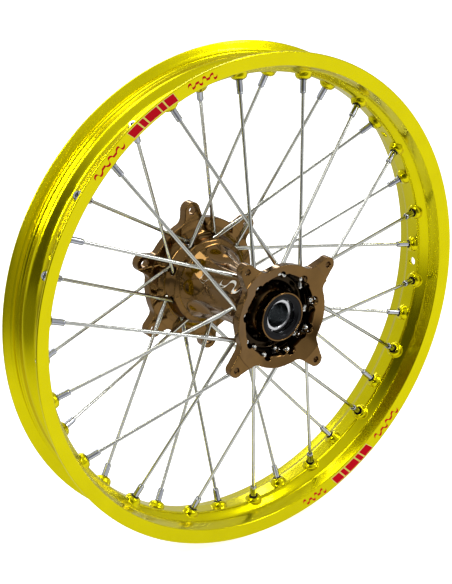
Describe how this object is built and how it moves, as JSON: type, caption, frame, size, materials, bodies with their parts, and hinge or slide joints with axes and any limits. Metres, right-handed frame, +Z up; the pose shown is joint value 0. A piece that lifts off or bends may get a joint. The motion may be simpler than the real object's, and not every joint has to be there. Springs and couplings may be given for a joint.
{
  "type": "spoked wheel",
  "caption": "Off-road motorcycle rear wheel: anodised alloy rim laced with straight-pull spokes to a billet hub that has a brake disc flange, a sprocket flange and sealed bearings.",
  "frame": {"origin": "wheel centre: the rim's mid-plane on the axle line", "axes": "+Y along the axle towards the sprocket side, -Y towards the brake disc side, +Z up, wheel rolls in the XZ plane"},
  "size_m": [0.511, 0.1555, 0.511],
  "materials": {
    "rim": "bright lemon-yellow anodised, polished, satin on the flange faces",
    "hub": "glossy brown-bronze anodised, machined",
    "spoke": "bright drawn stainless steel",
    "nipple": "bright nickel plated",
    "bearing_steel": "ground steel",
    "bearing_ball": "polished steel",
    "cage": "pressed steel",
    "sleeve": "plain turned aluminium",
    "spring_steel": "blackened spring steel",
    "seal": "moulded black nitrile rubber"
  },
  "bodies": {
    "axle_core": {"distance_sleeve": "sleeve", "disc_bearing_inner_race": "bearing_steel", "inboard_sprocket_bearing_inner_race": "bearing_steel", "outboard_sprocket_bearing_inner_race": "bearing_steel"},
    "wheel": {"rim": "rim", "hub": "hub", "spoke_01": "spoke", "spoke_02": "spoke", "spoke_03": "spoke", "spoke_04": "spoke", "spoke_05": "spoke", "spoke_06": "spoke", "spoke_07": "spoke", "spoke_08": "spoke", "spoke_09": "spoke", "spoke_10": "spoke", "spoke_11": "spoke", "spoke_12": "spoke", "spoke_13": "spoke", "spoke_14": "spoke", "spoke_15": "spoke", "spoke_16": "spoke", "spoke_17": "spoke", "spoke_18": "spoke", "spoke_19": "spoke", "spoke_20": "spoke", "spoke_21": "spoke", "spoke_22": "spoke", "spoke_23": "spoke", "spoke_24": "spoke", "spoke_25": "spoke", "spoke_26": "spoke", "spoke_27": "spoke", "spoke_28": "spoke", "spoke_29": "spoke", "spoke_30": "spoke", "spoke_31": "spoke", "spoke_32": "spoke", "spoke_33": "spoke", "spoke_34": "spoke", "spoke_35": "spoke", "spoke_36": "spoke", "nipples_disc_trailing": "nipple", "nipples_disc_leading": "nipple", "nipples_sprocket_trailing": "nipple", "nipples_sprocket_leading": "nipple", "disc_bearing_outer_race": "bearing_steel", "inboard_sprocket_bearing_outer_race": "bearing_steel", "outboard_sprocket_bearing_outer_race": "bearing_steel", "bearing_circlip": "spring_steel", "disc_side_seal": "seal", "sprocket_side_seal": "seal"},
    "disc_bearing_ball_set": {"disc_bearing_balls": "bearing_ball", "disc_bearing_cage": "cage"},
    "inboard_sprocket_bearing_ball_set": {"inboard_sprocket_bearing_balls": "bearing_ball", "inboard_sprocket_bearing_cage": "cage"},
    "outboard_sprocket_bearing_ball_set": {"outboard_sprocket_bearing_balls": "bearing_ball", "outboard_sprocket_bearing_cage": "cage"}
  },
  "joints": [
    {"name": "wheel_spin", "type": "hinge", "parent": "axle_core", "child": "wheel", "pos_m": [0, 0, 0], "axis": [0, 1, 0], "continuous": true},
    {"name": "disc_bearing_ball_set_spin", "type": "hinge", "parent": "axle_core", "child": "disc_bearing_ball_set", "pos_m": [0, -0.054, 0], "axis": [0, 1, 0], "continuous": true},
    {"name": "inboard_sprocket_bearing_ball_set_spin", "type": "hinge", "parent": "axle_core", "child": "inboard_sprocket_bearing_ball_set", "pos_m": [0, 0.0525, 0], "axis": [0, 1, 0], "continuous": true},
    {"name": "outboard_sprocket_bearing_ball_set_spin", "type": "hinge", "parent": "axle_core", "child": "outboard_sprocket_bearing_ball_set", "pos_m": [0, 0.0645, 0], "axis": [0, 1, 0], "continuous": true}
  ],
  "couplings": [
    {"joint": "disc_bearing_ball_set_spin", "follows": "wheel_spin", "ratio": 0.599},
    {"joint": "inboard_sprocket_bearing_ball_set_spin", "follows": "wheel_spin", "ratio": 0.599},
    {"joint": "outboard_sprocket_bearing_ball_set_spin", "follows": "wheel_spin", "ratio": 0.599}
  ]
}
